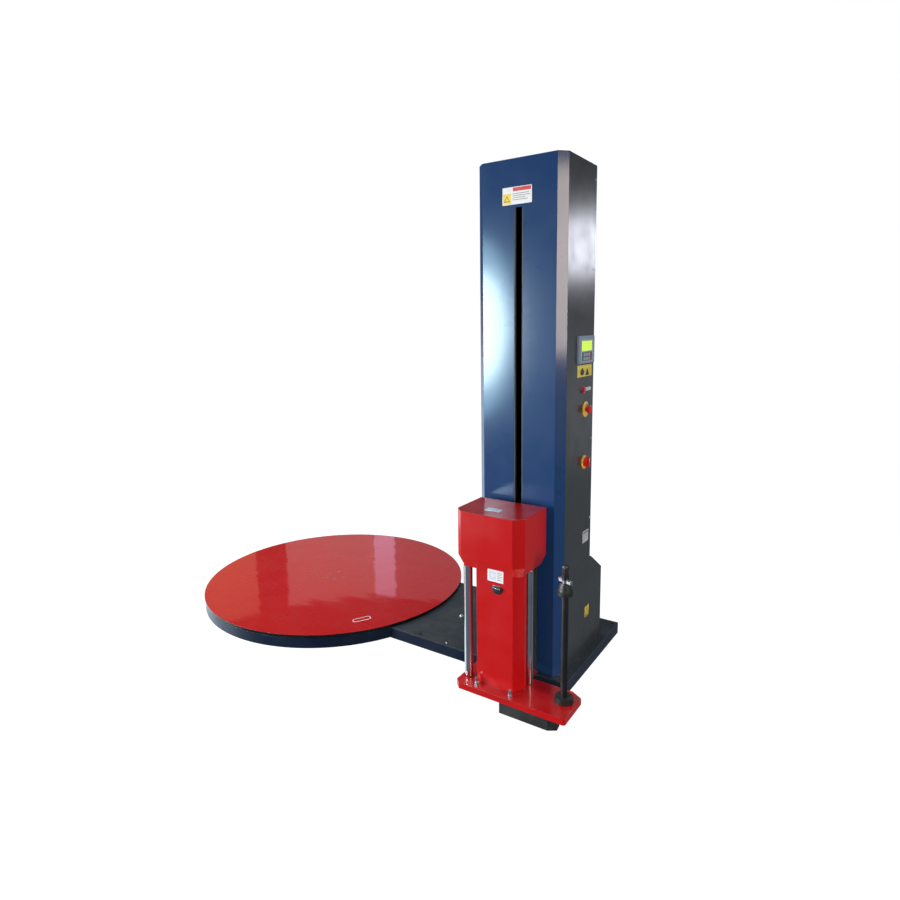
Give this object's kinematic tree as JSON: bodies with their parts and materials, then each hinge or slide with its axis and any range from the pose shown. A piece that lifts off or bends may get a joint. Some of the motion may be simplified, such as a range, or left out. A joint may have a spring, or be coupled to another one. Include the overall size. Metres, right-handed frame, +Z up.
{
  "type": "turntable pallet wrapper",
  "caption": "Low round turntable joined by a flat base to a tall mast, whose slot guides a lifting film carriage with rollers and a film spindle.",
  "frame": {"origin": "on the floor, at the turntable's axis of rotation", "axes": "+X from the turntable to the mast, +Y away from the film carriage's side, +Z up"},
  "size_m": [2.7308, 1.6498, 2.41],
  "materials": {
    "table_red": "gloss red paint on the turntable's top",
    "carriage_red": "semi-gloss red powder coat",
    "navy_paint": "gloss navy paint",
    "charcoal_paint": "gloss charcoal paint",
    "slate_paint": "satin slate paint, scuffed by shoes",
    "black_steel": "black oxide steel",
    "plain_steel": "plain machined steel",
    "zinc_steel": "blue zinc plated steel",
    "roller_steel": "bright plated roller",
    "motor_grey": "grey enamelled casting",
    "black_plastic": "black moulded plastic",
    "wheel_plastic": "cast polyurethane wheel",
    "rubber": "black rubber",
    "bezel_grey": "pale grey moulded bezel",
    "screen": "yellow-green backlit display",
    "keypad": "grey membrane keys",
    "switch_yellow": "yellow switch surround",
    "switch_red": "red switch",
    "button_crimson": "crimson push button"
  },
  "bodies": {
    "base": {"floor_plate": "black_steel", "ring_skirt": "navy_paint", "link_frame": "navy_paint", "link_cover": "slate_paint", "hub_spindle": "plain_steel", "wheel_brackets": "plain_steel", "table_drive_chain": "plain_steel", "table_gearmotor": "motor_grey", "mast_frame": "black_steel", "mast_front_panel": "navy_paint", "slot_seals": "rubber", "mast_left_panel": "charcoal_paint", "mast_right_panel": "charcoal_paint", "mast_rear_panel": "charcoal_paint", "mast_top_cap": "navy_paint", "rear_housing": "charcoal_paint", "lift_chain": "plain_steel", "lift_gearmotor": "motor_grey", "lift_brackets": "black_steel", "operator_panel": "bezel_grey", "operator_screen": "screen", "membrane_keypad": "keypad", "switch_surrounds": "switch_yellow", "drive_cabinet": "bezel_grey", "cable_gland": "black_plastic"},
    "turntable": {"turntable_plate": "table_red", "hub_screws": "plain_steel", "hub_sprocket": "plain_steel"},
    "table_drive_sprocket": {"table_drive_sprocket": "plain_steel"},
    "lift_lower_sprocket": {"lift_lower_sprocket": "plain_steel"},
    "lift_upper_sprocket": {"lift_upper_sprocket": "plain_steel"},
    "carriage": {"trolley_frame": "black_steel", "carriage_frame": "black_steel", "carriage_deck": "carriage_red", "column_cover": "carriage_red", "head_cover": "carriage_red", "shaft_bushes": "plain_steel", "feed_motor": "motor_grey", "feed_belt": "rubber", "drive_tray": "black_steel", "deck_bolts": "zinc_steel"},
    "guide_wheels_lower": {"guide_wheels_lower": "wheel_plastic"},
    "guide_wheels_upper": {"guide_wheels_upper": "wheel_plastic"},
    "idle_roller": {"idle_roller": "roller_steel"},
    "drive_roller": {"drive_roller": "roller_steel"},
    "feed_motor_pulley": {"feed_motor_pulley": "plain_steel"},
    "film_spindle": {"film_spindle_post": "zinc_steel", "core_seat": "black_plastic", "core_expander": "rubber"},
    "expander_lever": {"expander_lever": "zinc_steel"},
    "start_button": {"start_button_cap": "button_crimson"},
    "emergency_stop": {"emergency_stop_button": "switch_red"},
    "main_switch": {"main_switch_handle": "switch_red"},
    "cover_latch": {"cover_latch": "black_plastic"},
    "support_wheel_1": {"support_wheel_1": "wheel_plastic"},
    "support_wheel_2": {"support_wheel_2": "wheel_plastic"},
    "support_wheel_3": {"support_wheel_3": "wheel_plastic"},
    "support_wheel_4": {"support_wheel_4": "wheel_plastic"},
    "support_wheel_5": {"support_wheel_5": "wheel_plastic"},
    "support_wheel_6": {"support_wheel_6": "wheel_plastic"}
  },
  "joints": [
    {"name": "turntable_spin", "type": "hinge", "parent": "base", "child": "turntable", "pos_m": [0, 0, 0.05], "axis": [0, 0, 1], "continuous": true},
    {"name": "support_wheel_1_spin", "type": "hinge", "parent": "base", "child": "support_wheel_1", "pos_m": [0.59756, 0.345, 0.0407], "axis": [0.866, 0.5, 0], "continuous": true},
    {"name": "support_wheel_2_spin", "type": "hinge", "parent": "base", "child": "support_wheel_2", "pos_m": [0, 0.69, 0.0407], "axis": [0, 1, 0], "continuous": true},
    {"name": "support_wheel_3_spin", "type": "hinge", "parent": "base", "child": "support_wheel_3", "pos_m": [-0.59756, 0.345, 0.0407], "axis": [-0.866, 0.5, 0], "continuous": true},
    {"name": "support_wheel_4_spin", "type": "hinge", "parent": "base", "child": "support_wheel_4", "pos_m": [-0.59756, -0.345, 0.0407], "axis": [-0.866, -0.5, 0], "continuous": true},
    {"name": "support_wheel_5_spin", "type": "hinge", "parent": "base", "child": "support_wheel_5", "pos_m": [0, -0.69, 0.0407], "axis": [0, -1, 0], "continuous": true},
    {"name": "support_wheel_6_spin", "type": "hinge", "parent": "base", "child": "support_wheel_6", "pos_m": [0.59756, -0.345, 0.0407], "axis": [0.866, -0.5, 0], "continuous": true},
    {"name": "table_drive_spin", "type": "hinge", "parent": "base", "child": "table_drive_sprocket", "pos_m": [1.5175, 0, 0.033], "axis": [0, 0, 1], "continuous": true},
    {"name": "carriage_lift", "type": "slide", "parent": "base", "child": "carriage", "axis": [0, 0, 1], "range_m": [0, 1.29]},
    {"name": "lift_lower_sprocket_spin", "type": "hinge", "parent": "base", "child": "lift_lower_sprocket", "pos_m": [1.5175, -0.09, 0.38], "axis": [1, 0, 0], "continuous": true},
    {"name": "lift_upper_sprocket_spin", "type": "hinge", "parent": "base", "child": "lift_upper_sprocket", "pos_m": [1.5175, -0.09, 2.33], "axis": [1, 0, 0], "continuous": true},
    {"name": "guide_wheels_lower_spin", "type": "hinge", "parent": "carriage", "child": "guide_wheels_lower", "pos_m": [1.5175, -0.2903, 0.68], "axis": [1, 0, 0], "continuous": true},
    {"name": "guide_wheels_upper_spin", "type": "hinge", "parent": "carriage", "child": "guide_wheels_upper", "pos_m": [1.5175, -0.2097, 0.84], "axis": [1, 0, 0], "continuous": true},
    {"name": "idle_roller_spin", "type": "hinge", "parent": "carriage", "child": "idle_roller", "pos_m": [1.404, -0.604, 0.3], "axis": [0, 0, 1], "continuous": true},
    {"name": "drive_roller_spin", "type": "hinge", "parent": "carriage", "child": "drive_roller", "pos_m": [1.662, -0.515, 0.3], "axis": [0, 0, 1], "continuous": true},
    {"name": "feed_motor_spin", "type": "hinge", "parent": "carriage", "child": "feed_motor_pulley", "pos_m": [1.622, -0.59, 0.05], "axis": [0, 0, 1], "continuous": true},
    {"name": "film_spindle_spin", "type": "hinge", "parent": "carriage", "child": "film_spindle", "pos_m": [1.85, -0.56, 0.3], "axis": [0, 0, 1], "continuous": true},
    {"name": "expander_turn", "type": "hinge", "parent": "film_spindle", "child": "expander_lever", "pos_m": [1.85, -0.56, 0.63], "axis": [0, 0, 1], "range_deg": [0, 150]},
    {"name": "start_button_press", "type": "slide", "parent": "base", "child": "start_button", "axis": [-1, 0, 0], "range_m": [0, 0.004], "stiffness_N_per_m": 600},
    {"name": "emergency_stop_press", "type": "slide", "parent": "base", "child": "emergency_stop", "axis": [-1, 0, 0], "range_m": [0, 0.006]},
    {"name": "main_switch_turn", "type": "hinge", "parent": "base", "child": "main_switch", "pos_m": [1.735, -0.085, 1.048], "axis": [1, 0, 0], "range_deg": [0, 90]},
    {"name": "cover_latch_turn", "type": "hinge", "parent": "carriage", "child": "cover_latch", "pos_m": [1.566, -0.626, 0.572], "axis": [0, -1, 0], "range_deg": [0, 90]}
  ],
  "couplings": [
    {"joint": "support_wheel_1_spin", "follows": "turntable_spin", "ratio": -26.538},
    {"joint": "support_wheel_2_spin", "follows": "turntable_spin", "ratio": -26.538},
    {"joint": "support_wheel_3_spin", "follows": "turntable_spin", "ratio": -26.538},
    {"joint": "support_wheel_4_spin", "follows": "turntable_spin", "ratio": -26.538},
    {"joint": "support_wheel_5_spin", "follows": "turntable_spin", "ratio": -26.538},
    {"joint": "support_wheel_6_spin", "follows": "turntable_spin", "ratio": -26.538},
    {"joint": "table_drive_spin", "follows": "turntable_spin", "ratio": 5.0667},
    {"joint": "lift_lower_sprocket_spin", "follows": "carriage_lift", "rad_per_m": -28.937},
    {"joint": "lift_upper_sprocket_spin", "follows": "carriage_lift", "rad_per_m": -28.937},
    {"joint": "guide_wheels_lower_spin", "follows": "carriage_lift", "rad_per_m": -50},
    {"joint": "guide_wheels_upper_spin", "follows": "carriage_lift", "rad_per_m": 50},
    {"joint": "feed_motor_spin", "follows": "drive_roller_spin", "ratio": 1.375}
  ]
}
